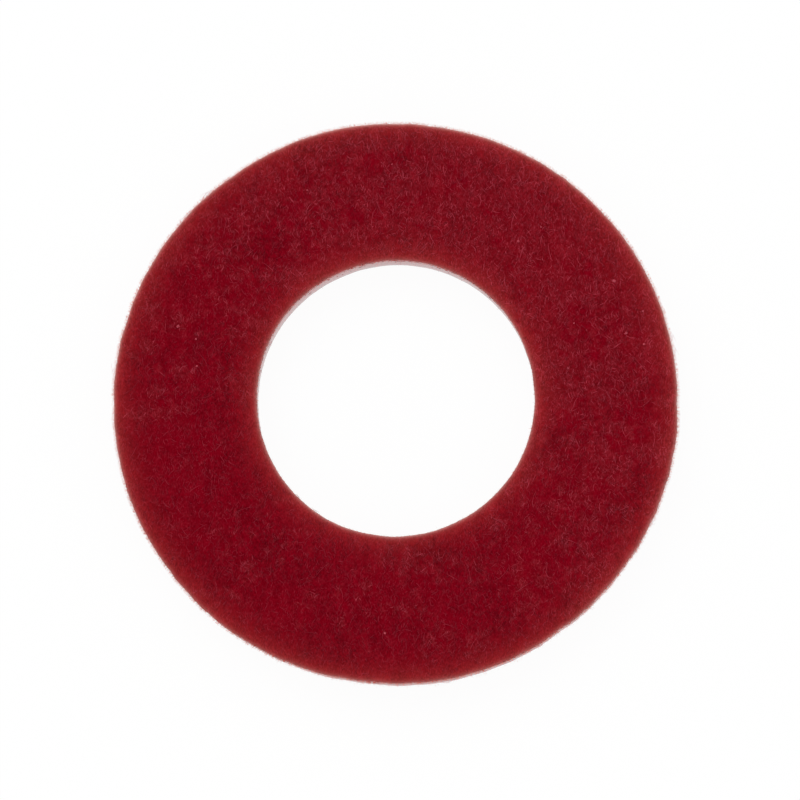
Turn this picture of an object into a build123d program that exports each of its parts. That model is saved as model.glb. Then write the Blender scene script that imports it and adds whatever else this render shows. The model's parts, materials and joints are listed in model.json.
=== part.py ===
from build123d import *
import os

# A fibre washer: one flat ring, punched from a single thickness of red fibre sheet.
# All sizes are in millimetres. The origin is on the bore axis, in the plane of the underside,
# and +Z runs up through the bore to the face with the rolled edges.

# The ring
OUTER_DIAMETER = 17.0
BORE_DIAMETER = 8.4
THICKNESS = 1.5

# The bore and the rim are cut by two punches that are not quite in line.
# The rim's axis stands this far from the bore's, towards -Y.
PUNCH_OFFSET = 0.12

# The rolled lip, where a punch draws the upper face down before it cuts
LIP_WIDTH = 0.40
LIP_DROP = 0.14

# The break, where the last of the sheet tears away from the straight wall with a slight taper
BREAK_HEIGHT = 0.40
BREAK_TAPER = 0.02


def cut_edge(radius, inwards):
    """Section line of a punched edge at this radius, from the underside up to the upper face.

    inwards is the way into the fibre: -1 at the rim, towards the axis, and 1 at the bore, away from it.
    """
    wall_top = THICKNESS - LIP_DROP
    foot = (radius + inwards * BREAK_TAPER, 0)
    wall_foot = (radius, BREAK_HEIGHT)
    lip_centre = (radius + inwards * LIP_WIDTH, wall_top)
    lip_start = 0 if inwards < 0 else 180
    taper = Line(foot, wall_foot)
    wall = Line(wall_foot, (radius, wall_top))
    lip = EllipticalCenterArc(
        lip_centre, LIP_WIDTH, LIP_DROP, start_angle=lip_start, arc_size=-90 * inwards
    )
    return Wire([taper, wall, lip])


def turned(edge):
    """The solid disc that a section line sweeps out round the Z axis."""
    foot = edge @ 0
    crown = edge @ 1
    closing = Polyline(crown, (0, crown.Y), (0, foot.Y), foot)
    section = make_face(edge.edges() + closing.edges())
    return revolve(Plane.XZ * section, Axis.Z)


def blank():
    """The disc that the outer punch cuts from the sheet."""
    disc = turned(cut_edge(OUTER_DIAMETER / 2, inwards=-1))
    return Pos(0, -PUNCH_OFFSET) * disc


def bore_slug():
    """What the bore punch removes: its section mirrors the rim's, so both lips roll on the upper face."""
    return turned(cut_edge(BORE_DIAMETER / 2, inwards=1))


def fibre_washer():
    """The finished ring, as one solid."""
    ring = blank() - bore_slug()
    ring.label = "fibre_washer"
    return ring


os.makedirs("parts", exist_ok=True)
washer = fibre_washer()
export_step(washer, "parts/fibre_washer.step")
print(f"fibre_washer: {washer.volume:.1f} mm3, box {washer.bounding_box().size}")
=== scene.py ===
import json
import math

import bpy
import numpy as np
from mathutils import Matrix, Vector, noise


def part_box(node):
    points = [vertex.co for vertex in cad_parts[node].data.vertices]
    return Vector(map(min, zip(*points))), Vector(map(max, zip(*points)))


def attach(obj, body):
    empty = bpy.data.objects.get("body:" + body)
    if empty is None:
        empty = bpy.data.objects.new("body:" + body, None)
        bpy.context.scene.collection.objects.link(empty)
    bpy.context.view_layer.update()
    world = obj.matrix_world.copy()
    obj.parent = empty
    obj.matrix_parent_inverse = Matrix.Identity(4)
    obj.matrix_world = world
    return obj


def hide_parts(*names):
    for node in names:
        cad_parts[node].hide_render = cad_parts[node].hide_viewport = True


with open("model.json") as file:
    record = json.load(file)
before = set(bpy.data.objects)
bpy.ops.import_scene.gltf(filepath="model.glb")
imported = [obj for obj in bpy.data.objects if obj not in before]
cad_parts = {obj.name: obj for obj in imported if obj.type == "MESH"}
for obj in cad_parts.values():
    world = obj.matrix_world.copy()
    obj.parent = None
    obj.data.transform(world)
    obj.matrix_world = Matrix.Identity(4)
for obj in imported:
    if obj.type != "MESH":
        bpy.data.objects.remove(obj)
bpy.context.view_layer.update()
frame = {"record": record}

# Everything is in metres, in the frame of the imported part: the washer lies on z = 0,
# its bore is on the Z axis and the photograph's top edge is towards +Y.

MM = 0.001

# Sizes of the ring, read from the frame
NODE = "fibre_washer"
LOW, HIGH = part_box(NODE)
THICKNESS = HIGH.z - LOW.z
RIM_RADIUS = (HIGH.x - LOW.x) / 2
RIM_CENTRE = np.array([(LOW.x + HIGH.x) / 2, (LOW.y + HIGH.y) / 2])
BORE_RADIUS = next(m for m in frame["record"]["mounts"] if m["name"] == "bore")["dims"]["r_mm"] * MM
MID_RADIUS = (BORE_RADIUS + RIM_RADIUS) / 2

# The punched edge, as in the part's own section
LIP_WIDTH = 0.40 * MM
LIP_DROP = 0.14 * MM
BREAK_HEIGHT = 0.40 * MM
BREAK_TAPER = 0.02 * MM

# The felted skin: the solid faces lie a little inside the nap that covers them
NAP_DEPTH = 0.025 * MM
UNDER_NAP_DEPTH = 0.015 * MM
LOWEST_POINT = 0.25 * UNDER_NAP_DEPTH
FACE_TOP = THICKNESS - NAP_DEPTH
WALL_TOP = FACE_TOP - LIP_DROP

# The photograph: its frame, and where the rim's circle lies in it, all in pixels
PHOTO_SIDE = 800
PHOTO_MIDDLE = PHOTO_SIDE / 2
PHOTO_RIM_RADIUS = 281.7
PHOTO_RIM_CENTRE = (395.5, 402.0)
PHOTO_FOCAL = 7300.0

# How far its camera leans from straight above, and towards which side
PHOTO_TILT = math.radians(6.8)
PHOTO_TILT_AZIMUTH = math.radians(286.0)

# The size of one pixel at the rim, and the camera's own sensor and nearest distance
PIXEL = RIM_RADIUS / PHOTO_RIM_RADIUS
SENSOR_WIDTH = 36.0
CLIP_START = 0.01


def photo_frame():
    """The photograph's camera: where its eye is, and its directions to the right, up and back."""
    tilt, azimuth = PHOTO_TILT, PHOTO_TILT_AZIMUTH
    flat = math.sin(tilt)
    back = Vector((flat * math.cos(azimuth), flat * math.sin(azimuth), math.cos(tilt)))
    right = Vector((0, 1, 0)).cross(back).normalized()
    up = back.cross(right)
    off_right = (PHOTO_MIDDLE - PHOTO_RIM_CENTRE[0]) * PIXEL
    off_up = (PHOTO_RIM_CENTRE[1] - PHOTO_MIDDLE) * PIXEL
    rim = Vector((RIM_CENTRE[0], RIM_CENTRE[1], THICKNESS - LIP_DROP))
    eye = rim + right * off_right + up * off_up + back * (PHOTO_FOCAL * PIXEL)
    return eye, right, up, back


def photo_point(column, row, height):
    """The point at this height that the photograph shows at this pixel."""
    eye, right, up, back = photo_frame()
    ray = right * (column - PHOTO_MIDDLE) + up * (PHOTO_MIDDLE - row) - back * PHOTO_FOCAL
    return np.array(eye + ray * ((height - eye.z) / ray.z))


# Meshes


def mesh_object(name, vertices, faces):
    """A smooth object from an array of points and an array of faces that all have as many corners."""
    mesh = bpy.data.meshes.new(name)
    corners = faces.shape[1]
    mesh.vertices.add(len(vertices))
    mesh.vertices.foreach_set("co", vertices.astype(np.float32).ravel())
    mesh.loops.add(faces.size)
    mesh.loops.foreach_set("vertex_index", faces.astype(np.int32).ravel())
    mesh.polygons.add(len(faces))
    mesh.polygons.foreach_set("loop_start", np.arange(0, faces.size, corners, dtype=np.int32))
    mesh.polygons.foreach_set("use_smooth", np.ones(len(faces), bool))
    mesh.update(calc_edges=True)
    mesh.validate()
    thing = bpy.data.objects.new(name, mesh)
    bpy.context.scene.collection.objects.link(thing)
    return thing


def set_values(thing, name, values):
    """Stores one number for each vertex, which a material reads by name."""
    attribute = thing.data.attributes.new(name, "FLOAT", "POINT")
    attribute.data.foreach_set("value", np.asarray(values, np.float32))


def edge_distance(x, y):
    """How far a place on the face is from the nearer of the two cut edges."""
    to_bore = np.hypot(x, y) - BORE_RADIUS
    to_rim = RIM_RADIUS - np.hypot(x - RIM_CENTRE[0], y - RIM_CENTRE[1])
    return np.minimum(to_bore, to_rim)


def lip_fall(distance):
    """How far the rolled lip has dropped below the face at this distance from the cut edge."""
    short = np.clip(1 - distance / LIP_WIDTH, 0, 1)
    return LIP_DROP * (1 - np.sqrt(1 - short**2))


def face_height(x, y):
    return FACE_TOP - lip_fall(edge_distance(x, y))


def mark_place(thing, points):
    """Stores how far, in mm, each point is from the nearer cut, and how much that cut faces +Y."""
    x, y = points[:, 0], points[:, 1]
    from_axis = np.hypot(x, y)
    outer = from_axis > MID_RADIUS
    set_values(thing, "from_cut", edge_distance(x, y) / MM)
    set_values(thing, "facing", np.where(outer, y, -y) / from_axis)


# Unevenness, made of layers of smooth random lumps

SEED_STEP = (17.3, 5.9, 11.1)


def relief(points, size, seed):
    """Smooth random heights between about -1 and 1, with lumps of the given size."""
    shift = Vector([seed * step for step in SEED_STEP])
    return np.array([noise.noise(Vector(p) / size + shift) for p in points])


def layered(points, layers):
    """Heights in mm from layers given as (size of the lumps in mm, height in mm, seed)."""
    return sum(height * relief(points, lump * MM, seed) for lump, height, seed in layers)


# The two cuts wander a little out of round, as (size of the lumps, how far in or out) in mm. The bore
# wanders less than the rim, and the wander fades away over this reach into the ring.
WANDER = ((4.0, 0.032), (1.2, 0.017), (0.5, 0.022))
WANDER_STEPS = 1440
WANDER_REACH = 1.0 * MM
RIM_SEED = 20
BORE_SEED = 30
BORE_SHARE = 0.5

# The rim is also a little wider along X, and has one shallow dent at the photograph's right. How far
# each goes in or out is in mm.
RIM_OVAL = 0.0115
DENT_DEPTH = 0.036
DENT_SPREAD = math.radians(2.5)


def wander(angles, radius, first_seed):
    """How far, in mm, a cut of this radius lies in or out of its true circle at these angles."""
    circle = radius * np.stack([np.cos(angles), np.sin(angles), np.zeros(len(angles))], -1)
    return layered(circle, [(lump, far, first_seed + k) for k, (lump, far) in enumerate(WANDER)])


ROUND = np.linspace(-math.pi, math.pi, WANDER_STEPS, endpoint=False)
DENT = DENT_DEPTH * np.exp(-((ROUND / DENT_SPREAD) ** 2))
RIM_WANDER = wander(ROUND, RIM_RADIUS, RIM_SEED) + RIM_OVAL * np.cos(2 * ROUND) - DENT
BORE_WANDER = BORE_SHARE * wander(ROUND, BORE_RADIUS, BORE_SEED)


def out_of_round(points):
    """The points, moved in or out with the wander of the cut that they are near."""
    moved = points.copy()
    for centre, radius, far in ((RIM_CENTRE, RIM_RADIUS, RIM_WANDER), (0, BORE_RADIUS, BORE_WANDER)):
        x, y = (points[:, :2] - centre).T
        near = np.clip(1 - np.abs(np.hypot(x, y) - radius) / WANDER_REACH, 0, 1)
        angle = np.arctan2(y, x)
        shift = MM * near * np.interp(angle, ROUND, far, period=2 * math.pi)
        moved[:, 0] += shift * np.cos(angle)
        moved[:, 1] += shift * np.sin(angle)
    return moved


# The body: a ring with the part's section and the unevenness of pressed fibre

ANGLES = 720
FACE_STEPS = 52
LIP_STEPS = 10
WALL_STEPS = 12
UNDER_STEPS = 32

# Layers of unevenness. On the walls the lumps are drawn out along Z, the way that the punch went.
FACE_RELIEF = ((0.30, 0.004, 1), (0.11, 0.003, 2), (1.6, 0.006, 3))
WALL_RELIEF = ((0.25, 0.003, 5), (0.8, 0.008, 4))
WALL_DRAW = 0.15


def section():
    """The closed section line, as rows of (share of the way from bore to rim, set-back, height, wall)."""
    rows = []

    def lip(share, angles):
        for a in angles:
            set_back = LIP_WIDTH * (1 - math.cos(a))
            on_wall = 1.0 if a == 0 else 0.0
            rows.append((share, set_back, WALL_TOP + LIP_DROP * math.sin(a), on_wall))

    def wall(share, heights):
        for z in heights:
            taper = BREAK_TAPER * max(0.0, 1 - z / BREAK_HEIGHT)
            rows.append((share, taper, z, 1.0))

    quarter = np.linspace(0, math.pi / 2, LIP_STEPS, endpoint=False)
    heights = np.linspace(UNDER_NAP_DEPTH, WALL_TOP, WALL_STEPS, endpoint=False)
    for share in np.linspace(0, 1, FACE_STEPS):
        rows.append((share, LIP_WIDTH, FACE_TOP, 0.0))
    lip(1, quarter[::-1])
    wall(1, heights[::-1])
    for share in np.linspace(1, 0, UNDER_STEPS)[1:-1]:
        rows.append((share, BREAK_TAPER, UNDER_NAP_DEPTH, 0.0))
    wall(0, heights)
    lip(0, quarter)
    return np.array(rows)


def ring_body():
    """The ring that stands for the part's solid. Its two walls take the second material."""
    rows = section()
    angles = np.linspace(0, 2 * math.pi, ANGLES, endpoint=False)
    share, set_back, height, wall = (rows[None, :, k] for k in range(4))
    cos, sin = np.cos(angles)[:, None], np.sin(angles)[:, None]
    bore = BORE_RADIUS + set_back
    rim = RIM_RADIUS - set_back
    x = (1 - share) * bore * cos + share * (rim * cos + RIM_CENTRE[0])
    y = (1 - share) * bore * sin + share * (rim * sin + RIM_CENTRE[1])
    z = np.broadcast_to(height, x.shape)
    points = np.stack([x, y, z], -1).reshape(-1, 3)

    steps = len(rows)
    around = np.arange(ANGLES)[:, None]
    along = np.arange(steps)[None, :]
    this = around * steps + along
    right = ((around + 1) % ANGLES) * steps + along
    over = around * steps + (along + 1) % steps
    both = ((around + 1) % ANGLES) * steps + (along + 1) % steps
    faces = np.stack([this, over, both, right], -1).reshape(-1, 4)

    body = mesh_object("washer_body", points, faces)
    normals = np.zeros(len(points) * 3, np.float32)
    body.data.vertices.foreach_get("normal", normals)
    normals = normals.reshape(-1, 3)

    on_wall = np.broadcast_to(wall, x.shape).reshape(-1)
    face_move = layered(points, FACE_RELIEF)
    wall_move = layered(points * [1, 1, WALL_DRAW], WALL_RELIEF)
    move = MM * (face_move * (1 - on_wall) + wall_move * on_wall)
    moved = out_of_round(points + normals * move[:, None])
    moved[:, 2] = np.clip(moved[:, 2], LOWEST_POINT, THICKNESS)
    body.data.vertices.foreach_set("co", moved.astype(np.float32).ravel())
    body.data.update()

    set_values(body, "tint", np.zeros(len(points)))
    mark_place(body, points)
    on_cut = on_wall.reshape(x.shape) > 0.5
    cut_faces = (on_cut & np.roll(on_cut, -1, 1)).reshape(-1)
    body.data.polygons.foreach_set("material_index", cut_faces.astype(np.int32))
    return body


# Loose and matted fibres: closed threads with three sides and a point at each end

THREAD_SIDES = (math.pi / 2, math.pi * 7 / 6, math.pi * 11 / 6)
NEARLY_UPRIGHT = 0.8


def flat_curves(middles, directions, lengths, bends, knots):
    """Centre lines in the plane that each turn evenly by their own bend."""
    steps = np.linspace(-0.5, 0.5, knots)
    angles = directions[:, None] + bends[:, None] * steps[None, :]
    angles = (angles[:, 1:] + angles[:, :-1]) / 2
    reach = (lengths / (knots - 1))[:, None, None]
    strides = reach * np.stack([np.cos(angles), np.sin(angles)], -1)
    lines = np.concatenate([np.zeros((len(middles), 1, 2)), np.cumsum(strides, 1)], 1)
    lines -= lines.mean(1, keepdims=True)
    return middles[:, None, :] + lines


def bowed(roots, pulls, tips, knots):
    """Curved centre lines from each root to its tip, drawn towards the point between."""
    t = np.linspace(0, 1, knots)[None, :, None]
    return (1 - t) ** 2 * roots[:, None] + 2 * t * (1 - t) * pulls[:, None] + t**2 * tips[:, None]


def arch_of(knots):
    """0 at both ends of a centre line and 1 at its middle."""
    return np.sin(np.linspace(0, math.pi, knots))[None, :]


def unit(vectors):
    return vectors / np.linalg.norm(vectors, axis=-1, keepdims=True)


def threads(name, lines, half_widths, tints):
    """One mesh of many threads, along centre lines given as (thread, knot, xyz)."""
    count, knots = lines.shape[:2]
    rings = knots - 2
    sides = len(THREAD_SIDES)
    along = unit(np.gradient(lines, axis=1))[:, 1:-1]
    helper = np.where(np.abs(along[..., 2:]) > NEARLY_UPRIGHT, [1.0, 0, 0], [0, 0, 1.0])
    side = unit(np.cross(along, helper))
    lift = np.cross(side, along)
    swell = np.sin(np.linspace(0, math.pi, knots))[1:-1] ** 0.5
    radius = half_widths[:, None, None] * swell[None, :, None]
    corners = []
    for a in THREAD_SIDES:
        corners.append(lines[:, 1:-1] + radius * (math.cos(a) * side + math.sin(a) * lift))
    tube = np.stack(corners, 2).reshape(count, rings * sides, 3)
    points = np.concatenate([tube, lines[:, :1], lines[:, -1:]], 1).reshape(-1, 3)

    faces = []
    first, last = rings * sides, rings * sides + 1
    for k in range(sides):
        n = (k + 1) % sides
        end = sides * (rings - 1)
        faces.append((first, k, n))
        faces.append((last, end + n, end + k))
        for ring in range(rings - 1):
            a, b = sides * ring, sides * (ring + 1)
            faces.append((a + k, b + k, b + n))
            faces.append((a + k, b + n, a + n))
    size = rings * sides + 2
    faces = np.array(faces)[None] + (np.arange(count) * size)[:, None, None]
    thing = mesh_object(name, out_of_round(points), faces.reshape(-1, 3))
    set_values(thing, "tint", np.repeat(tints, size))
    mark_place(thing, points)
    return thing


# The punch irons the nap near the cut edges: it takes this share of the strands away and lays those
# that stay this much flatter
IRONED_AWAY = 0.2
IRONED_FLAT = 0.5

# How deep the ends of a strand on the face are buried
BURIED = 0.008 * MM


def scatter_on_ring(rng, count, margin):
    """Random places on the face, thinner near the cut edges."""
    kept = np.zeros((0, 2))
    while len(kept) < count:
        tries = rng.uniform(-RIM_RADIUS, RIM_RADIUS, (4 * count, 2)) + RIM_CENTRE
        distance = edge_distance(tries[:, 0], tries[:, 1])
        inward = np.clip((distance - margin) / LIP_WIDTH, 0, 1)
        chance = inward * IRONED_AWAY + (1 - IRONED_AWAY)
        tries = tries[(distance > margin) & (rng.random(len(tries)) < chance)]
        kept = np.concatenate([kept, tries])
    return kept[:count]


def headings(rng, count, lean):
    """Random directions, with a lean towards the photograph's vertical."""
    angles = rng.uniform(0, math.pi, 3 * count)
    kept = angles[rng.random(3 * count) < (1 - lean * np.cos(2 * angles)) / (1 + lean)]
    return kept[:count]


def lay_on_face(lines, arch):
    """Gives flat centre lines their height: both ends buried, the middle raised above the face."""
    rise = arch_of(lines.shape[1])
    heights = face_height(lines[..., 0], lines[..., 1])
    z = heights + arch[:, None] * rise - BURIED * (1 - rise)
    return np.concatenate([lines, z[..., None]], -1)


# Three kinds of strand on the upper face, from the longest to the shortest. Curl is how far one turns,
# in radians, and thick is half the width of the thickest.
LOOSE_NAP = {
    "count": 10300,
    "length": 0.22 * MM,
    "knots": 5,
    "curl": 1.5,
    "thick": 0.0130 * MM,
    "light": 1.0,
}
CURLED_NAP = {
    "count": 15500,
    "length": 0.16 * MM,
    "knots": 4,
    "curl": 1.3,
    "thick": 0.0120 * MM,
    "light": 1.0,
}
SHORT_NAP = {
    "count": 31000,
    "length": 0.13 * MM,
    "knots": 3,
    "curl": 1.0,
    "thick": 0.0095 * MM,
    "light": 0.9,
}
UPPER_NAP = (LOOSE_NAP, CURLED_NAP, SHORT_NAP)
UPPER_SEED = 100

# What they share: how near a cut they come, how their lengths spread, their lean towards Y, and how
# high they arch and how deep they are set, in mm
NAP_MARGIN = 0.01 * MM
NAP_SPREAD = 0.45
NAP_LEAN = 0.8
NAP_ARCH = 0.011
NAP_SET = 0.004


def upper_nap(index, count, length, knots, curl, thick, light):
    """One kind of strand on the upper face. Those that arch highest are painted the lightest, a painted
    light for the top of the pile.
    """
    rng = np.random.default_rng(UPPER_SEED + index)
    middles = scatter_on_ring(rng, count, NAP_MARGIN)
    lengths = length * np.clip(rng.lognormal(0, NAP_SPREAD, count), 0.5, 2.5)
    bends = rng.normal(0, curl, count)
    lines = flat_curves(middles, headings(rng, count, NAP_LEAN), lengths, bends, knots)
    distance = edge_distance(lines[..., 0], lines[..., 1]).min(1)
    inside = distance > NAP_MARGIN
    lines = lines[inside]
    count = len(lines)
    inward = np.clip(distance[inside] / LIP_WIDTH, 0, 1)
    ironed = 1 - IRONED_FLAT + IRONED_FLAT * inward
    level = rng.random(count)
    lines = lay_on_face(lines, MM * (NAP_ARCH * level * ironed - NAP_SET))
    widths = thick * rng.uniform(0.65, 1.0, count)
    # Painted light: the tint grows with how high a strand arches
    return threads(f"nap_upper_{index + 1}", lines, widths, light * level**2)


# Strands on the underside: they lie flatter, and the lowest only just clear the floor
UNDER_FIBRES = 5000
UNDER_KNOTS = 4
UNDER_SEED = 200
UNDER_LEAN = 0.1
UNDER_CURL = 0.8
UNDER_MARGIN = 0.05 * MM
UNDER_END_MARGIN = 0.03 * MM
UNDER_BURIED = 0.015 * MM


def under_nap():
    """The nap of the underside."""
    rng = np.random.default_rng(UNDER_SEED)
    count = UNDER_FIBRES
    middles = scatter_on_ring(rng, count, UNDER_MARGIN)
    lengths = MM * np.clip(rng.lognormal(math.log(0.45), 0.35, count), 0.2, 1.0)
    directions = headings(rng, count, UNDER_LEAN)
    bends = rng.normal(0, UNDER_CURL, count)
    lines = flat_curves(middles, directions, lengths, bends, UNDER_KNOTS)
    lines = lines[edge_distance(lines[..., 0], lines[..., 1]).min(1) > UNDER_END_MARGIN]
    count = len(lines)
    widths = MM * rng.uniform(0.009, 0.013, count)
    rise = arch_of(UNDER_KNOTS)
    sink = MM * rng.uniform(0.012, 0.020, count)[:, None]
    lowest = np.maximum(UNDER_NAP_DEPTH + UNDER_BURIED * (1 - rise) - sink * rise, 0)
    z = lowest + widths[:, None]
    lines = np.concatenate([lines, z[..., None]], -1)
    tints = np.clip(rng.normal(0.4, 0.2, count), 0, 1)
    return threads("nap_under", lines, widths, tints)


# Strands along the walls. They thin out downwards from the lip over this drop, in mm.
WALL_FIBRES = 3500
WALL_KNOTS = 3
WALL_SEED = 300
WALL_THINNING = 0.15
WALL_LOWEST_MIDDLE = 0.06 * MM
WALL_LOWEST_END = 0.02 * MM
WALL_HIGHEST_END = WALL_TOP + 0.3 * LIP_DROP
WALL_BURIED = 0.010 * MM


def wall_fuzz():
    """Short strands that lie along the two walls, most just below the lip that they come from."""
    rng = np.random.default_rng(WALL_SEED)
    count = WALL_FIBRES
    on_rim = rng.random(count) < RIM_RADIUS / (RIM_RADIUS + BORE_RADIUS)
    radius = np.where(on_rim, RIM_RADIUS, BORE_RADIUS)
    out = np.where(on_rim, 1.0, -1.0)
    angle = rng.uniform(0, 2 * math.pi, count)
    height = np.maximum(WALL_TOP - MM * rng.exponential(WALL_THINNING, count), WALL_LOWEST_MIDDLE)
    lengths = MM * np.clip(rng.lognormal(math.log(0.14), 0.4, count), 0.06, 0.4)
    slope = rng.uniform(-math.pi / 2, math.pi / 2, count)
    steps = np.linspace(-0.5, 0.5, WALL_KNOTS)[None, :]
    rise = arch_of(WALL_KNOTS)
    turn = angle[:, None] + steps * (lengths * np.cos(slope) / radius)[:, None]
    z = height[:, None] + steps * (lengths * np.sin(slope))[:, None]
    z = np.clip(z, WALL_LOWEST_END, WALL_HIGHEST_END)
    proud = MM * rng.uniform(0.000, 0.008, count)[:, None]
    depth = proud * rise - WALL_BURIED * (1 - rise)
    reach = radius[:, None] + out[:, None] * depth
    x = reach * np.cos(turn) + np.where(on_rim, RIM_CENTRE[0], 0)[:, None]
    y = reach * np.sin(turn) + np.where(on_rim, RIM_CENTRE[1], 0)[:, None]
    lines = np.stack([x, y, z], -1)
    widths = MM * rng.uniform(0.003, 0.006, count)
    tints = np.clip(rng.normal(0.5, 0.25, count), 0, 1)
    return threads("fuzz_walls", lines, widths, tints)


# How deep the roots of hairs and wisps are set in the wall
ROOT_DEPTH = 0.04 * MM


def beside_edge(on_rim, angle, out, height):
    """Points that stand this far out of the wall, into the air, at this angle and height."""
    radius = np.where(on_rim, RIM_RADIUS + out, BORE_RADIUS - out)
    x = radius * np.cos(angle) + np.where(on_rim, RIM_CENTRE[0], 0)
    y = radius * np.sin(angle) + np.where(on_rim, RIM_CENTRE[1], 0)
    return np.stack([x, y, height], -1)


# Hairs that stand out of the walls. Their drops below the lip and their reaches are in mm.
EDGE_HAIRS = 28000
EDGE_KNOTS = 3
EDGE_SEED = 400
SHARE_ON_RIM = 0.80
SHARE_BY_THE_LIP = 0.92
DROP_BY_THE_LIP = (-0.02, 0.20)
DROP_FURTHER_DOWN = (0.20, 1.30)
RIM_REACH = 0.040
BORE_REACH = 0.012
REACH_RANGE = (0.004, 0.10)
TIP_MARGIN = 0.02 * MM


def edge_fuzz():
    """A haze of fine hairs that stand out of both walls, most of them by the lip."""
    rng = np.random.default_rng(EDGE_SEED)
    count = EDGE_HAIRS
    on_rim = rng.random(count) < SHARE_ON_RIM
    angle = rng.uniform(0, 2 * math.pi, count)
    by_lip = rng.random(count) < SHARE_BY_THE_LIP
    near, far = rng.uniform(*DROP_BY_THE_LIP, count), rng.uniform(*DROP_FURTHER_DOWN, count)
    height = WALL_TOP - MM * np.where(by_lip, near, far)
    lean = MM * rng.normal(0, 0.04, count) / np.where(on_rim, RIM_RADIUS, BORE_RADIUS)
    mean_reach = np.where(on_rim, RIM_REACH, BORE_REACH)
    reach = MM * np.clip(rng.exponential(mean_reach, count), *REACH_RANGE)
    roots = beside_edge(on_rim, angle, np.full(count, -ROOT_DEPTH), height)
    pulls = beside_edge(on_rim, angle + 0.4 * lean, 1.2 * reach, height)
    drop = MM * rng.normal(0, 0.02, count)
    tip_height = np.clip(height + drop, TIP_MARGIN, WALL_TOP + TIP_MARGIN)
    tips = beside_edge(on_rim, angle + lean, reach, tip_height)
    widths = MM * rng.uniform(0.0012, 0.0027, count)
    return threads("fuzz_edges", bowed(roots, pulls, tips, EDGE_KNOTS), widths, rng.random(count))


# Wisps of loose fibre seen beside the cut edges, as (column, row) in the photograph, and height and
# length in mm. Each is a few strands that leave the nearer wall and run along it past that point.
LINT = (
    (184, 213, 1.0, 0.60),
    (180, 219, 1.1, 0.40),
    (202, 194, 1.0, 0.45),
    (207, 191, 1.1, 0.50),
    (275, 148, 1.0, 0.35),
    (303, 136, 1.1, 0.35),
    (112, 371, 0.9, 0.40),
    (675, 337, 0.8, 0.30),
    (677, 350, 0.7, 0.35),
    (659, 509, 0.9, 0.30),
    (654, 524, 0.7, 0.30),
    (538, 648, 0.8, 0.30),
    (448, 683, 0.3, 0.45),
    (299, 496, 0.9, 0.30),
    (315, 509, 1.0, 0.35),
    (320, 513, 0.8, 0.40),
)
WISP_STRANDS = 4
WISP_KNOTS = 7
WISP_LOWEST = 0.03 * MM
LINT_SEED = 500


def lint():
    """The wisps beside the cut edges."""
    rng = np.random.default_rng(LINT_SEED)
    count = len(LINT) * WISP_STRANDS
    column, row, height, length = np.repeat(LINT, WISP_STRANDS, axis=0).T
    height, length = height * MM, length * MM * rng.uniform(0.6, 1.1, count)
    points = np.array([photo_point(c, r, z) for c, r, z in zip(column, row, height)])
    on_rim = np.hypot(points[:, 0], points[:, 1]) > MID_RADIUS
    radius = np.where(on_rim, RIM_RADIUS, BORE_RADIUS)
    offset = points[:, :2] - np.where(on_rim[:, None], RIM_CENTRE, 0)
    from_wall = np.abs(np.hypot(offset[:, 0], offset[:, 1]) - radius)
    angle = np.arctan2(offset[:, 1], offset[:, 0]) + MM * rng.normal(0, 0.05, count) / radius
    turn = rng.choice([-1.0, 1.0], count) * length / radius
    out = from_wall * rng.uniform(0.5, 1.1, count)
    tip_height = np.clip(height + MM * rng.normal(0, 0.08, count), WISP_LOWEST, THICKNESS)
    roots = beside_edge(on_rim, angle - 0.6 * turn, np.full(count, -ROOT_DEPTH), height)
    pulls = beside_edge(on_rim, angle - 0.1 * turn, 1.3 * out, height)
    tips = beside_edge(on_rim, angle + 0.4 * turn, out * rng.uniform(0.3, 1.1, count), tip_height)
    widths = MM * rng.uniform(0.0016, 0.0028, count)
    return threads("lint", bowed(roots, pulls, tips, WISP_KNOTS), widths, np.full(count, 0.5))


# Long single fibres that lie on the face in the photograph, as (start, pull, end), each of them a
# (column, row)
LONG_FIBRES = (
    ((548, 241), (548, 252), (553, 263)),
    ((547, 230), (553, 229), (559, 231)),
)
LONG_KNOTS = 8
LONG_SEED = 600
STRAY_FIBRES = 50
STRAY_MARGIN = 0.5 * MM
STRAY_LEAN = 0.5
STRAY_CURL = 1.2


def long_fibres():
    """The long fibres that the photograph shows, and more of them strewn over the face."""
    rng = np.random.default_rng(LONG_SEED)
    ends = [np.array([photo_point(*row[k], THICKNESS)[:2] for row in LONG_FIBRES]) for k in range(3)]
    middles = scatter_on_ring(rng, STRAY_FIBRES, STRAY_MARGIN)
    lengths = MM * rng.uniform(0.5, 0.9, STRAY_FIBRES)
    bends = rng.normal(0, STRAY_CURL, STRAY_FIBRES)
    directions = headings(rng, STRAY_FIBRES, STRAY_LEAN)
    strays = flat_curves(middles, directions, lengths, bends, LONG_KNOTS)
    lines = np.concatenate([bowed(*ends, LONG_KNOTS), strays])
    count = len(lines)
    lines = lay_on_face(lines, MM * rng.uniform(0.014, 0.022, count))
    widths = MM * rng.uniform(0.006, 0.009, count)
    return threads("nap_long", lines, widths, rng.uniform(0.7, 1.0, count))


# Pale knots of fibre in the face, as (column, row, width) in the photograph's pixels
KNOTS = (
    (178, 326, 3.2),
    (197, 366, 2.4),
    (614, 281, 3.6),
    (626, 333, 2.8),
    (518, 241, 2.5),
    (385, 633, 2.5),
    (644, 344, 2.2),
    (196, 339, 2.0),
    (574, 323, 1.9),
    (307, 190, 1.7),
    (392, 164, 1.7),
    (568, 368, 1.7),
    (541, 227, 1.7),
    (643, 311, 2.0),
)
KNOT_STRANDS = 9
KNOT_STEPS = 8
KNOT_SEED = 700

# Their strands, in shares of the knot's width: how far they stray, their length and half their width
KNOT_STRAY = 0.12
KNOT_LENGTH = 1.3
KNOT_HALF_WIDTHS = (0.09, 0.14)


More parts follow.
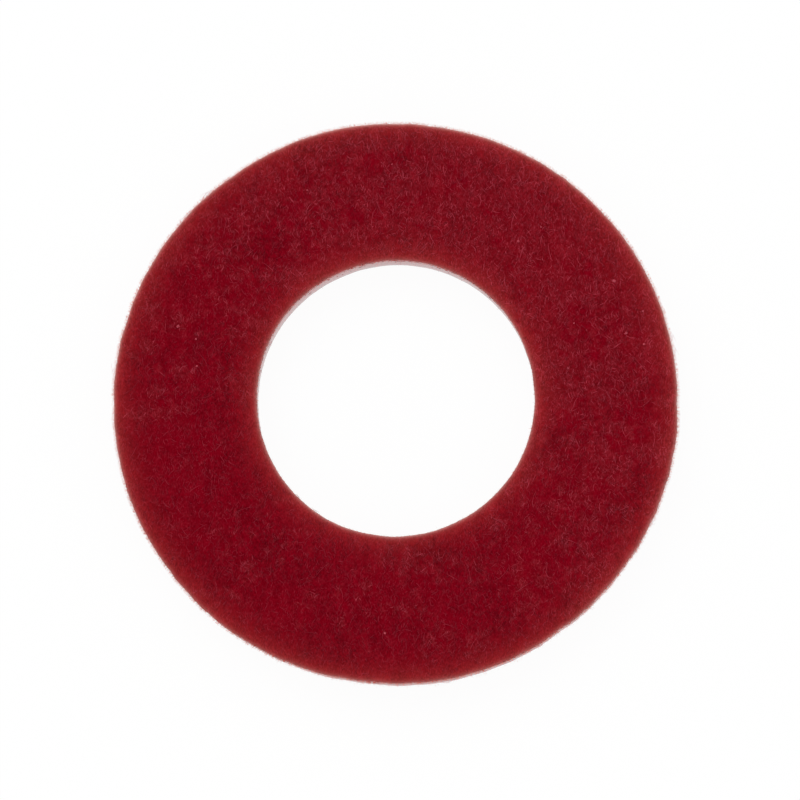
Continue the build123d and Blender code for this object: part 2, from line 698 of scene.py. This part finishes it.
def pale_knots():
    """Small tangles of undyed fibre, each a few strands wound through one another."""
    rng = np.random.default_rng(KNOT_SEED)
    count = len(KNOTS) * KNOT_STRANDS
    centres = np.array([photo_point(column, row, THICKNESS)[:2] for column, row, width in KNOTS])
    sizes = np.repeat([width * PIXEL for column, row, width in KNOTS], KNOT_STRANDS)
    stray = rng.normal(0, KNOT_STRAY, (count, 2)) * sizes[:, None]
    middles = np.repeat(centres, KNOT_STRANDS, 0) + stray
    bends = rng.normal(4.5, 1.0, count)
    directions = rng.uniform(0, 2 * math.pi, count)
    lines = flat_curves(middles, directions, sizes * KNOT_LENGTH, bends, KNOT_STEPS)
    lines = lay_on_face(lines, MM * rng.uniform(0.012, 0.026, count))
    widths = sizes * rng.uniform(*KNOT_HALF_WIDTHS, count)
    return threads("pale_knots", lines, widths, np.full(count, 0.5))


# Materials


class Nodes:
    """Short calls for building a node tree."""

    def __init__(self, tree):
        self.tree = tree
        tree.nodes.clear()

    def put(self, kind, inputs=(), **settings):
        node = self.tree.nodes.new(kind)
        for name, value in settings.items():
            setattr(node, name, value)
        for key, value in dict(inputs).items():
            if isinstance(value, bpy.types.NodeSocket):
                self.tree.links.new(value, node.inputs[key])
            else:
                node.inputs[key].default_value = value
        return node

    def math(self, operation, *values, clamp=False):
        inputs = dict(enumerate(values))
        return self.put("ShaderNodeMath", inputs, operation=operation, use_clamp=clamp).outputs[0]

    def vector(self, operation, one, other, output=0):
        inputs = {0: one, 1: other}
        return self.put("ShaderNodeVectorMath", inputs, operation=operation).outputs[output]

    def scaled(self, vector, factor):
        inputs = {0: vector, "Scale": factor}
        return self.put("ShaderNodeVectorMath", inputs, operation="SCALE").outputs[0]

    def noise(self, place, scale, detail=2.0, roughness=0.5, distortion=0.0):
        inputs = {
            "Vector": place,
            "Scale": scale,
            "Detail": detail,
            "Roughness": roughness,
            "Distortion": distortion,
        }
        return self.put("ShaderNodeTexNoise", inputs).outputs["Fac"]

    def ramp(self, value, low, high, start=0.0, end=1.0):
        """The value from low..high mapped smoothly to start..end, and held outside it."""
        inputs = {"Value": value, "From Min": low, "From Max": high, "To Min": start, "To Max": end}
        node = self.put("ShaderNodeMapRange", inputs, interpolation_type="SMOOTHSTEP")
        return node.outputs["Result"]

    def mix(self, share, one, other):
        inputs = {0: share, 6: one, 7: other}
        return self.put("ShaderNodeMix", inputs, data_type="RGBA").outputs[2]

    def add(self, share, one, other):
        inputs = {0: share, 6: one, 7: other}
        return self.put("ShaderNodeMix", inputs, data_type="RGBA", blend_type="ADD").outputs[2]

    def bump(self, height, strength, distance):
        inputs = {"Height": height, "Strength": strength, "Distance": distance}
        return self.put("ShaderNodeBump", inputs).outputs[0]

    def value_of(self, name):
        return self.put("ShaderNodeAttribute", attribute_name=name).outputs["Fac"]


def new_material(name):
    """A material with an empty node tree, and the short calls that fill it."""
    material = bpy.data.materials.new(name)
    material.use_nodes = True
    return material, Nodes(material.node_tree)


def finish_material(n, colour, bump, **settings):
    shader = n.put("ShaderNodeBsdfPrincipled", {"Base Color": colour, "Normal": bump})
    for name, value in settings.items():
        shader.inputs[name.replace("_", " ")].default_value = value
    n.put("ShaderNodeOutputMaterial", {0: shader.outputs[0]})
    return shader


def place_in_mm(n):
    return n.scaled(n.put("ShaderNodeTexCoord").outputs["Object"], 1 / MM)


def fading(n, distance, reach):
    """1 at no distance, falling away over this reach."""
    return n.math("EXPONENT", n.math("MULTIPLY", distance, -1 / reach), clamp=True)


# The dye: its clear and its dull red, and the ground between and under the strands, painted darker as a
# painted shade
CRIMSON = (0.173, 0.0002, 0.0064, 1)
MAROON = (0.143, 0.0040, 0.0072, 1)
GROUND_IN_PAINTED_SHADE = (0.164, 0.0002, 0.0050, 1)

# What is added to it: the lighter flecks, partly the fibres' own colour and partly painted sheen; a
# painted sheen near the cuts; and a painted highlight, a pale line right at them
FLECK = (0.165, 0.0228, 0.0360)
LIP_PAINTED_SHEEN = (0.130, 0.0200, 0.0155, 1)
EDGE_PAINTED_HIGHLIGHT = (0.260, 0.2400, 0.2150, 1)

# Undyed fibre; the cut walls, painted lighter than the face, partly as painted light; and hairs painted a
# bright orange, a painted glow for the bright table's light shining through them
PALE = (0.640, 0.1100, 0.1500, 1)
PALE_DULL = (0.500, 0.0650, 0.0950, 1)
CUT_RED = (0.430, 0.0320, 0.0340, 1)
CUT_DULL = (0.350, 0.0220, 0.0250, 1)
CUT_BY_LIP = (0.420, 0.0320, 0.0340, 1)
PAINTED_BACKLIGHT = (0.900, 0.1300, 0.0450, 1)
PAINTED_BACKLIGHT_DULL = (0.760, 0.0800, 0.0300, 1)

# Patterns in the dyed fibre, from the widest to the finest. A scale is in repeats per mm.
CLOUDS = {"scale": 0.75, "detail": 3.0, "roughness": 0.55, "distortion": 0.3}
PATCHES = {"scale": 2.0, "detail": 5.0, "roughness": 0.75}
FLOCS = {"scale": 2.8, "detail": 2.0, "roughness": 0.6, "distortion": 0.6}
TUFTS = {"scale": 7.0, "detail": 2.0, "roughness": 0.6, "distortion": 0.4}
GRAINS = {"scale": 25.0, "detail": 2.0, "roughness": 0.6}
PATTERN_RANGE = (0.30, 0.70)

# The colour is painted a little duller towards +X and +Y, a painted sheen, and lighter that way, a
# painted light. Its grain is drawn out along Y
PAINTED_SHEEN_TOWARDS = (0.008, 0.010, 0)
PAINTED_LIGHT_TOWARDS = (0.0045, 0.0030, 0)
GRAIN_DRAW = (1.3, 0.5, 1.0)
CLOUD_SHARE = 0.5
FLOC_SHARE = 0.5
DULL_RANGE = (0.417, 0.597)

# How light the dye is: a base, and what the patches and the grain add
SHADE_BASE = 0.03
PATCH_SHADE = 1.00
GRAIN_SHADE = 0.90

# The painted sheen near the cuts and the painted highlight right at them reach this far in, in mm.
# Both kinds are mottled, and the painted highlight is strongest on a cut that faces +Y.
LIP_PAINTED_SHEEN_REACH = 0.30
EDGE_PAINTED_HIGHLIGHT_REACH = 0.038
PAINTED_SHEEN_MOTTLE = (0.8, 1.2)
EDGE_PAINTED_HIGHLIGHT_LEVEL = 0.667
EDGE_PAINTED_HIGHLIGHT_TOWARDS_Y = 0.333

# Flecks show where these patterns, each in its share, add up to more than the threshold, and are
# stronger where the dye is dull. They are partly the fibres' own lighter colour and partly painted
# sheen, and through the tint they carry the painted light of the highest strands
FLECK_THRESHOLD = 0.37
TINT_FLECKS = 1.80
GRAIN_FLECKS = 0.30
TUFT_FLECKS = 0.15
FLOC_FLECKS = 0.12
FLECKS_BY_DULLNESS = (0.60, 1.20)

# Fine fibres drawn in the face: the angles that they cross at, in degrees, and half their width
CROSSINGS = (8, -20, 48, -70)
CROSSED_DRAW = (1, 0.3, 1)
CROSSED = {"scale": 11.0, "detail": 1.0, "roughness": 0.5, "distortion": 0.5}
CROSSED_HALF_WIDTH = 0.06


def crossed_fibres(n, place):
    """Fine matted fibres that cross at several angles, most of them near the photograph's vertical."""
    matted = None
    for crossing in CROSSINGS:
        inputs = {"Vector": place, "Angle": math.radians(crossing)}
        turned = n.put("ShaderNodeVectorRotate", inputs, rotation_type="Z_AXIS").outputs[0]
        field = n.noise(n.vector("MULTIPLY", turned, CROSSED_DRAW), **CROSSED)
        from_line = n.math("ABSOLUTE", n.math("SUBTRACT", field, 0.5))
        fibre = n.ramp(from_line, 0.0, CROSSED_HALF_WIDTH, 1.0, 0.0)
        matted = fibre if matted is None else n.math("MAXIMUM", matted, fibre)
    return matted


def painted_sheen_near_the_cuts(n, colour, grains):
    """The colour with a painted sheen near the two cuts, and a painted highlight in a pale line right at
    them, added to it.
    """
    from_cut, facing = n.value_of("from_cut"), n.value_of("facing")
    mottle = n.ramp(grains, *PATTERN_RANGE, *PAINTED_SHEEN_MOTTLE)
    # Painted sheen: the colour is made lighter along the rolled lip, for light that the lip catches
    glow = n.math("MULTIPLY", fading(n, from_cut, LIP_PAINTED_SHEEN_REACH), mottle, clamp=True)
    colour = n.add(glow, colour, LIP_PAINTED_SHEEN)
    # Painted highlight: a pale line right at each cut, stronger on a cut that faces +Y
    towards_y = n.math("MULTIPLY_ADD", facing, EDGE_PAINTED_HIGHLIGHT_TOWARDS_Y, EDGE_PAINTED_HIGHLIGHT_LEVEL)
    line = n.math("MULTIPLY", fading(n, from_cut, EDGE_PAINTED_HIGHLIGHT_REACH), towards_y)
    return n.add(n.math("MULTIPLY", line, mottle, clamp=True), colour, EDGE_PAINTED_HIGHLIGHT)


def nap_material(name, depth, painted, bump_height):
    """Dyed fibre: crimson with duller clouds, and lighter flecks.

    Depth is how far it darkens towards the ground, a painted shade, and painted is how much of the
    flecks comes from fibres drawn in the face.
    """
    material, n = new_material(name)
    place = place_in_mm(n)
    combed = n.vector("MULTIPLY", place, GRAIN_DRAW)
    clouds = n.noise(place, **CLOUDS)
    flocs = n.noise(place, **FLOCS)
    tufts = n.noise(place, **TUFTS)
    grains = n.noise(combed, **GRAINS)

    cloudy = n.math("MULTIPLY", clouds, CLOUD_SHARE)
    blotch = n.math("ADD", cloudy, n.math("MULTIPLY", flocs, FLOC_SHARE))
    # Painted sheen: duller towards +X and +Y
    blotch = n.math("ADD", blotch, n.vector("DOT_PRODUCT", place, PAINTED_SHEEN_TOWARDS, "Value"))
    dull = n.ramp(blotch, *DULL_RANGE)
    colour = n.mix(dull, CRIMSON, MAROON)
    # Painted shade: darker towards the ground between the strands, by the depth share
    colour = n.mix(depth, colour, GROUND_IN_PAINTED_SHADE)

    shade = n.math("MULTIPLY_ADD", n.noise(combed, **PATCHES), PATCH_SHADE, SHADE_BASE)
    # Painted light: lighter towards +X and +Y
    shade = n.math("ADD", shade, n.vector("DOT_PRODUCT", place, PAINTED_LIGHT_TOWARDS, "Value"))
    shade = n.math("MULTIPLY_ADD", grains, GRAIN_SHADE, shade)
    colour = painted_sheen_near_the_cuts(n, n.scaled(colour, shade), grains)

    # Flecks: partly the fibres' own lighter colour, partly painted sheen and painted light
    lightness = -FLECK_THRESHOLD
    for share, part in (
        (painted, crossed_fibres(n, place)),
        (TINT_FLECKS, n.value_of("tint")),
        (GRAIN_FLECKS, n.ramp(grains, *PATTERN_RANGE)),
        (TUFT_FLECKS, n.ramp(tufts, *PATTERN_RANGE)),
        (FLOC_FLECKS, n.ramp(flocs, *PATTERN_RANGE)),
    ):
        lightness = n.math("ADD", lightness, n.math("MULTIPLY", part, share))
    lightness = n.math("MULTIPLY", lightness, n.ramp(dull, 0.0, 1.0, *FLECKS_BY_DULLNESS))
    lightness = n.math("MAXIMUM", lightness, 0.0)
    colour = n.vector("ADD", colour, n.scaled(FLECK, lightness))
    bump = n.bump(grains, strength=0.4, distance=bump_height)
    finish_material(n, colour, bump, Roughness=0.95, Specular_IOR_Level=0.0)
    return material


# The cut wall: streaks drawn out along Z with grain between them, and a band below the lip, this
# deep in mm, where the surface is rougher
STREAK_DRAW = (14, 14, 2)
STREAKS = {"scale": 1.0, "detail": 2.0}
CUT_GRAINS = {"scale": 16.0, "detail": 2.0, "roughness": 0.6}
CUT_RANGE = (0.38, 0.62)
CUT_BUMP = 0.005 * MM
LIP_BAND = 0.6
SMOOTH_CUT = 0.18
ROUGHER_CUT = 0.30


def cut_material():
    """The sheared wall: the same dye painted much lighter than the face, partly its own colour and partly
    painted light for the brightly lit wall, and more even and rougher by the lip.
    """
    material, n = new_material("cut_wall")
    place = place_in_mm(n)
    streaks = n.noise(n.vector("MULTIPLY", place, STREAK_DRAW), **STREAKS)
    grains = n.noise(place, **CUT_GRAINS)
    texture = n.math("ADD", n.math("MULTIPLY", streaks, 0.5), n.math("MULTIPLY", grains, 0.5))
    # Painted light: both wall colours are much lighter than the face's dye
    colour = n.mix(n.ramp(texture, *CUT_RANGE), CUT_DULL, CUT_RED)
    height = n.put("ShaderNodeSeparateXYZ", {0: place}).outputs[2]
    by_lip = n.ramp(height, WALL_TOP / MM - LIP_BAND, WALL_TOP / MM)
    # Painted light: the band by the lip is lifted to even out the shade there
    colour = n.mix(by_lip, colour, CUT_BY_LIP)
    bump = n.bump(streaks, strength=0.3, distance=CUT_BUMP)
    shader = finish_material(n, colour, bump, Specular_IOR_Level=0.5)
    roughness = n.ramp(by_lip, 0.0, 1.0, SMOOTH_CUT, ROUGHER_CUT)
    n.tree.links.new(roughness, shader.inputs["Roughness"])
    return material


MATTE_GRAINS = {"scale": 20.0, "detail": 2.0, "roughness": 0.6}
MATTE_RANGE = (0.35, 0.65)
MATTE_BUMP = 0.003 * MM


def matte_material(name, dark, light):
    """Loose fibre of one colour, mottled from dark to light."""
    material, n = new_material(name)
    grains = n.noise(place_in_mm(n), **MATTE_GRAINS)
    colour = n.mix(n.ramp(grains, *MATTE_RANGE), dark, light)
    bump = n.bump(grains, strength=0.3, distance=MATTE_BUMP)
    finish_material(n, colour, bump, Roughness=0.9, Specular_IOR_Level=0.1)
    return material


# Stage, light and camera

FLOOR_SIDE = 4.0
TABLE_PAINT = (0.9, 0.9, 0.9, 1)
WHITE = (1, 1, 1, 1)

# How much of the table that the camera sees is plain white. The rest is lit paint, for the shadow.
PLAIN_WHITE_SHARE = 0.95


def seen_directly(n):
    """1 for rays from the camera and for those that reach it by a mirror or through glass."""
    path = n.put("ShaderNodeLightPath").outputs
    seen = n.math("MAXIMUM", path["Is Camera Ray"], path["Is Glossy Ray"])
    return n.math("MAXIMUM", seen, path["Is Transmission Ray"])


def stage_floor():
    half = FLOOR_SIDE / 2
    corners = np.array([(-half, -half, 0), (half, -half, 0), (half, half, 0), (-half, half, 0)])
    floor = mesh_object("floor", corners, np.array([[0, 1, 2, 3]]))
    material, n = new_material("white_table")
    paint = n.put("ShaderNodeBsdfDiffuse", {"Color": TABLE_PAINT})
    glow = n.put("ShaderNodeEmission", {"Color": WHITE, "Strength": 1.0})
    share = n.math("MULTIPLY", seen_directly(n), PLAIN_WHITE_SHARE)
    lit = n.put("ShaderNodeMixShader", {0: share, 1: paint.outputs[0], 2: glow.outputs[0]})
    n.put("ShaderNodeOutputMaterial", {0: lit.outputs[0]})
    floor.data.materials.append(material)


def world_light(strength):
    """Even light from all round at this strength, which the camera sees as plain white."""
    world = bpy.data.worlds.new("studio")
    bpy.context.scene.world = world
    world.use_nodes = True
    n = Nodes(world.node_tree)
    level = n.ramp(seen_directly(n), 0.0, 1.0, strength, 1.0)
    sky = n.put("ShaderNodeBackground", {"Color": WHITE, "Strength": level})
    n.put("ShaderNodeOutputWorld", {0: sky.outputs[0]})


def soft_box(name, azimuth, elevation, distance, side, power):
    """A square lamp that faces the origin, from these angles in degrees."""
    lamp = bpy.data.lights.new(name, "AREA")
    lamp.shape = "SQUARE"
    lamp.size = side
    lamp.energy = power
    light = bpy.data.objects.new(name, lamp)
    bpy.context.scene.collection.objects.link(light)
    a, e = math.radians(azimuth), math.radians(elevation)
    towards = Vector((math.cos(a) * math.cos(e), math.sin(a) * math.cos(e), math.sin(e)))
    light.location = towards * distance
    light.rotation_euler = (-towards).to_track_quat("-Z", "Y").to_euler()


def photo_camera():
    """A camera that puts the rim's circle where the photograph has it."""
    camera = bpy.data.cameras.new("camera")
    camera.sensor_width = SENSOR_WIDTH
    camera.lens = PHOTO_FOCAL * SENSOR_WIDTH / PHOTO_SIDE
    camera.clip_start = CLIP_START
    eye = bpy.data.objects.new("camera", camera)
    bpy.context.scene.collection.objects.link(eye)
    place, *axes = photo_frame()
    eye.location = place
    eye.rotation_mode = "QUATERNION"
    rows = [[axis[k] for axis in axes] for k in range(3)]
    eye.rotation_quaternion = Matrix(rows).to_quaternion()
    bpy.context.scene.camera = eye


# The whole scene


def dress(thing, *materials, replaces=False):
    """Gives a piece its materials and hangs it on the root body; a piece that replaces the part also
    hides it.
    """
    for material in materials:
        thing.data.materials.append(material)
    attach(thing, "root")
    if replaces:
        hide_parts(NODE)


skin = nap_material("pressed_fibre", depth=0.5, painted=0.25, bump_height=0.006 * MM)
strand = nap_material("loose_fibre", depth=0.0, painted=0.10, bump_height=0.002 * MM)
cut = cut_material()
cut_strand = matte_material("cut_fibre", CUT_DULL, CUT_RED)
# Painted light: a bright orange for hairs that the table's light shines through
lit_through = matte_material("fibre_painted_backlit", PAINTED_BACKLIGHT_DULL, PAINTED_BACKLIGHT)
pale = matte_material("pale_fibre", PALE_DULL, PALE)

dress(ring_body(), skin, cut, replaces=True)
for piece, kind in enumerate(UPPER_NAP):
    dress(upper_nap(piece, **kind), strand)
dress(under_nap(), strand)
dress(wall_fuzz(), cut_strand)
# The edge hairs carry the painted backlight
dress(edge_fuzz(), lit_through)
dress(long_fibres(), strand)
dress(pale_knots(), pale)
dress(lint(), pale)

stage_floor()
world_light(strength=0.9)
soft_box("key", azimuth=120, elevation=50, distance=0.40, side=0.30, power=0.45)
photo_camera()
bpy.context.scene.view_settings.view_transform = "Standard"
